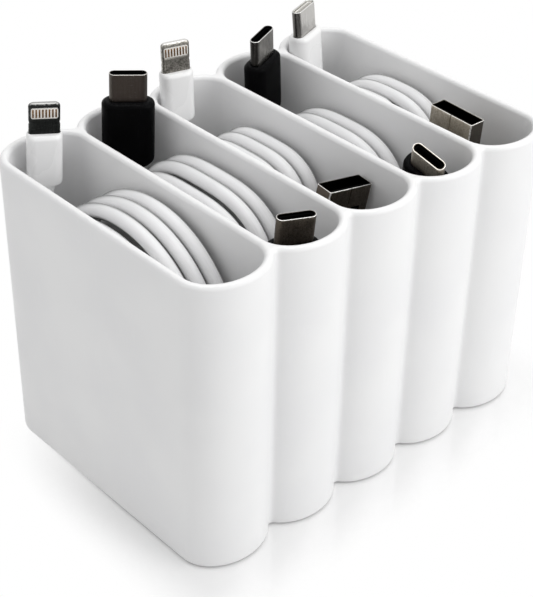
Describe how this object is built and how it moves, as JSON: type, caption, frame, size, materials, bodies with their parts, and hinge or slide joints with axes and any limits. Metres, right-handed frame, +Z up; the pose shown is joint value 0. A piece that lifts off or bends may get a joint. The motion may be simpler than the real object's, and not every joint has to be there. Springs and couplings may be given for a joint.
{
  "type": "cable organizer",
  "caption": "Open-topped tray with scalloped ends and narrow upright slots side by side, each holding a coiled cable whose plugs stand up at the slot's ends.",
  "frame": {"origin": "middle of the tray's base, on the surface that it stands on", "axes": "+Z up, +X along the slots from the upright plugs to the far plugs, +Y across the slots from slot 1 to slot 5"},
  "size_m": [0.073, 0.102, 0.085],
  "materials": {
    "tray": "satin",
    "cord": "satin",
    "white_plug": "satin",
    "black_plug": "satin",
    "steel": "brushed",
    "contact": "plated",
    "liner": "matte"
  },
  "bodies": {
    "tray": {"organizer_tray": "tray"},
    "cable_1": {"cable_1_cord": "cord", "cable_1_upright_blade_plug_body": "white_plug", "cable_1_upright_blade": "steel", "cable_1_upright_blade_contacts": "contact", "cable_1_far_wide_plug_body": "white_plug", "cable_1_far_wide_shell": "steel", "cable_1_far_wide_tongue": "liner"},
    "cable_2": {"cable_2_cord": "cord", "cable_2_upright_oval_plug_body": "black_plug", "cable_2_upright_oval_shell": "steel", "cable_2_upright_oval_liner": "liner", "cable_2_far_oval_plug_body": "black_plug", "cable_2_far_oval_shell": "steel", "cable_2_far_oval_liner": "liner"},
    "cable_3": {"cable_3_cord": "cord", "cable_3_upright_blade_plug_body": "white_plug", "cable_3_upright_blade": "steel", "cable_3_upright_blade_contacts": "contact", "cable_3_far_wide_plug_body": "black_plug", "cable_3_far_wide_shell": "steel", "cable_3_far_wide_tongue": "liner"},
    "cable_4": {"cable_4_cord": "cord", "cable_4_upright_oval_plug_body": "black_plug", "cable_4_upright_oval_shell": "steel", "cable_4_upright_oval_liner": "liner", "cable_4_far_oval_plug_body": "black_plug", "cable_4_far_oval_shell": "steel", "cable_4_far_oval_liner": "liner"},
    "cable_5": {"cable_5_cord": "cord", "cable_5_upright_oval_plug_body": "white_plug", "cable_5_upright_oval_shell": "steel", "cable_5_upright_oval_liner": "liner", "cable_5_far_wide_plug_body": "black_plug", "cable_5_far_wide_shell": "steel", "cable_5_far_wide_tongue": "liner"}
  },
  "joints": [
    {"name": "cable_1_lift", "type": "slide", "parent": "tray", "child": "cable_1", "axis": [0, 0, 1], "range_m": [0, 0.075]},
    {"name": "cable_2_lift", "type": "slide", "parent": "tray", "child": "cable_2", "axis": [0, 0, 1], "range_m": [0, 0.075]},
    {"name": "cable_3_lift", "type": "slide", "parent": "tray", "child": "cable_3", "axis": [0, 0, 1], "range_m": [0, 0.075]},
    {"name": "cable_4_lift", "type": "slide", "parent": "tray", "child": "cable_4", "axis": [0, 0, 1], "range_m": [0, 0.075]},
    {"name": "cable_5_lift", "type": "slide", "parent": "tray", "child": "cable_5", "axis": [0, 0, 1], "range_m": [0, 0.075]}
  ]
}
